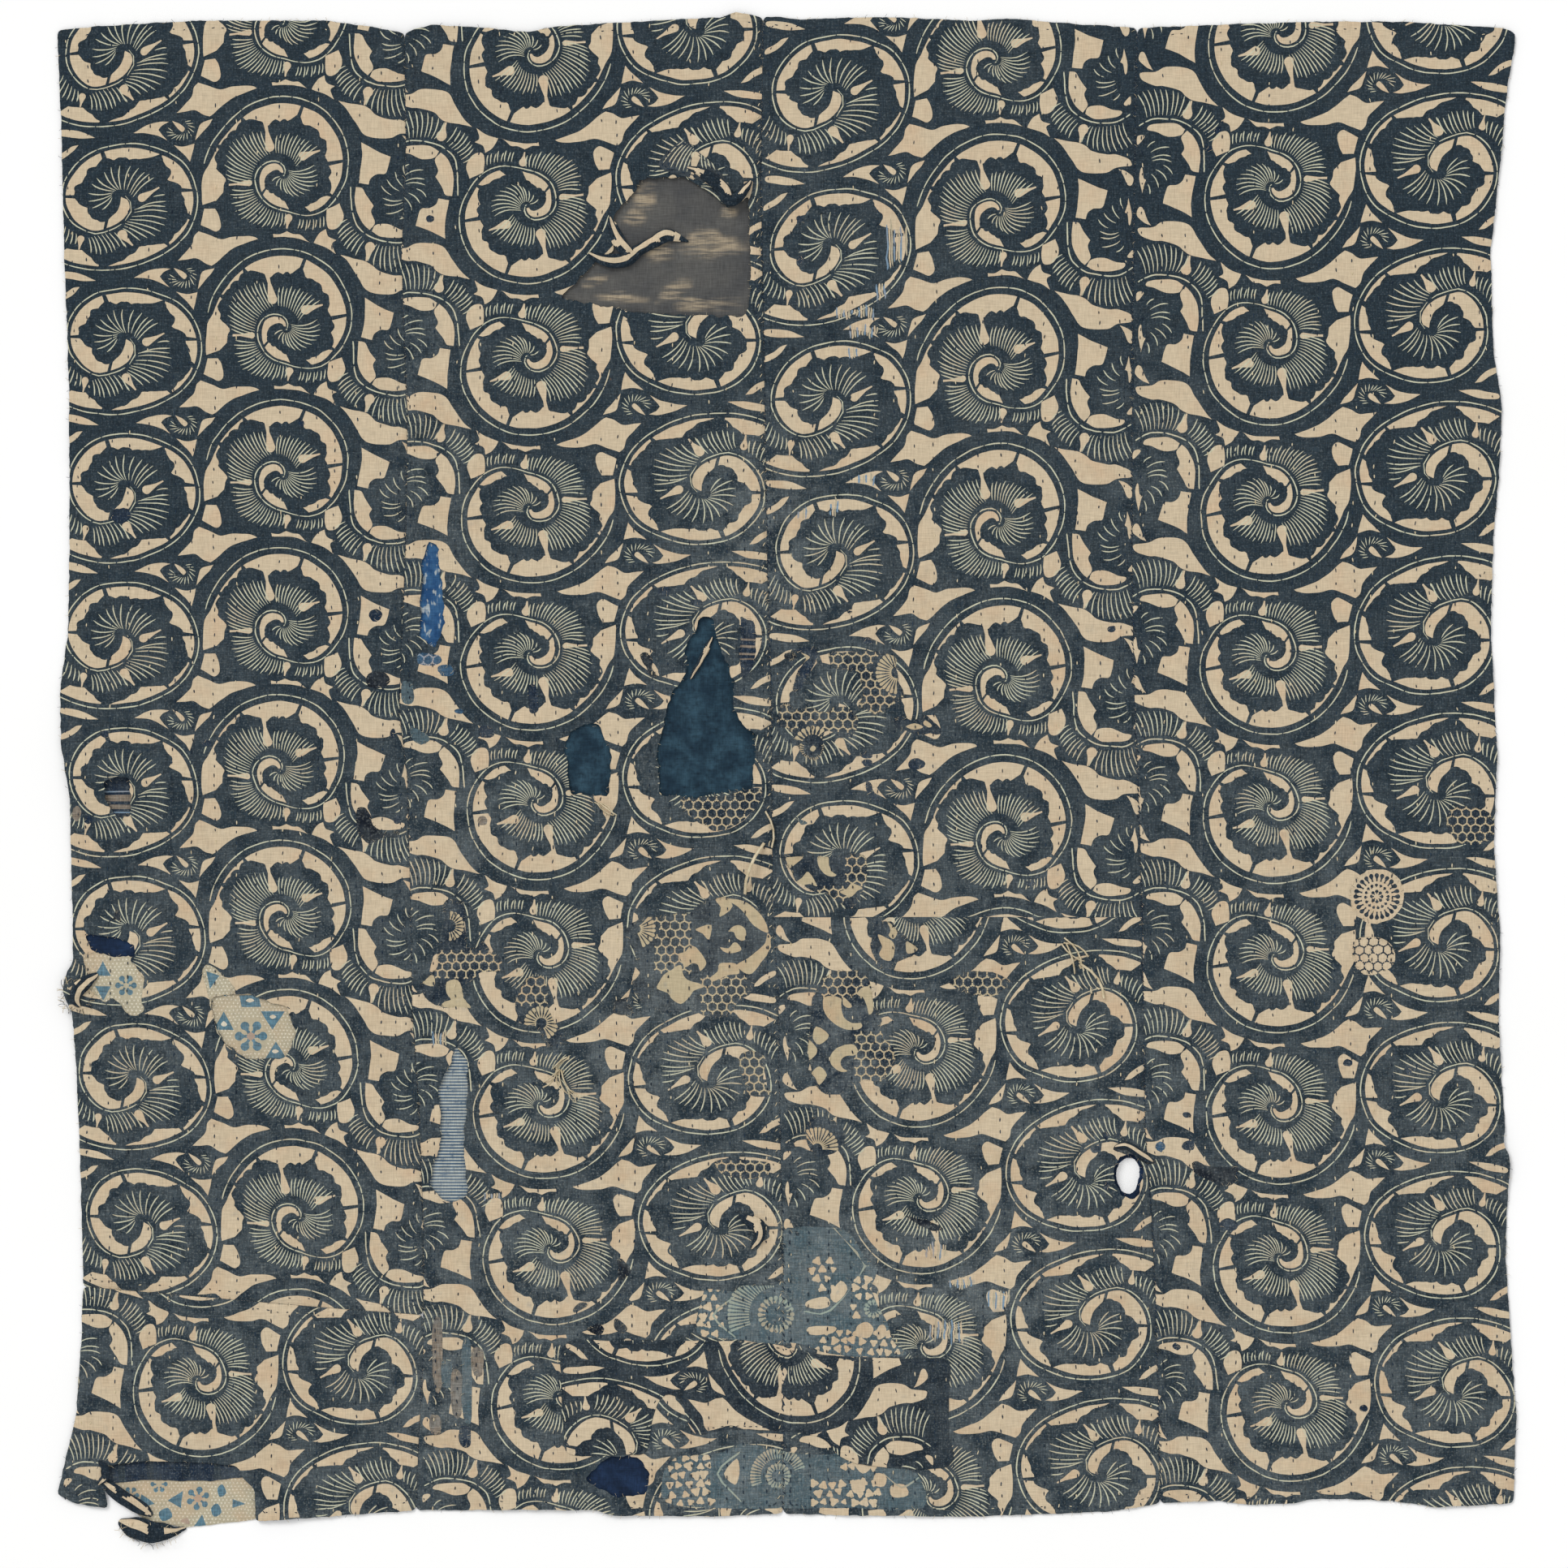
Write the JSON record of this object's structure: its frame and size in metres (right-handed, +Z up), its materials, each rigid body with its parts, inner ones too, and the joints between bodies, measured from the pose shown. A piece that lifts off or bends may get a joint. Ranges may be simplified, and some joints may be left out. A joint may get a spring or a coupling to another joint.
{
  "type": "boro patched cloth",
  "caption": "Large patched indigo cotton cloth in joined loom widths with a resist-dyed scroll pattern, torn open over patches, laid flat on a surface.",
  "frame": {"origin": "middle of the cloth's footprint, on the surface that it lies on", "axes": "+Z up from the surface, through the face of the cloth; +Y along the loom widths to the top hem; +X to the right across the widths"},
  "size_m": [1.3478, 1.4206, 0.0116],
  "materials": {
    "scroll_cotton": "indigo cotton with an undyed scroll pattern, plain weave, washed soft",
    "grey_kasuri": "grey cotton with cream tie-dyed clouds",
    "plain_indigo": "plain indigo cotton",
    "blue_kasuri": "bright blue cotton with white tie-dyed marks",
    "stripe_cotton": "blue and white fine-striped cotton",
    "navy_cotton": "dark indigo cotton",
    "light_cotton": "light blue and cream printed cotton, faded"
  },
  "bodies": {
    "root": {"loom_width_1": "scroll_cotton", "loom_width_1_foot": "scroll_cotton", "loom_width_2": "scroll_cotton", "loom_width_3": "scroll_cotton", "loom_width_4": "scroll_cotton", "patch_grey": "grey_kasuri", "patch_indigo": "plain_indigo", "patch_small_indigo": "plain_indigo", "patch_bright_blue": "blue_kasuri", "patch_fine_stripe": "stripe_cotton", "patch_foot_navy": "navy_cotton", "patch_striped_navy": "navy_cotton", "patch_left_navy": "navy_cotton", "patch_hexagon": "light_cotton", "patch_round_hole": "navy_cotton", "patch_corner_light": "light_cotton", "patch_corner_navy": "navy_cotton", "rag_over_grey": "scroll_cotton", "lip_over_grey": "scroll_cotton", "rag_at_corner": "scroll_cotton"}
  },
  "joints": []
}
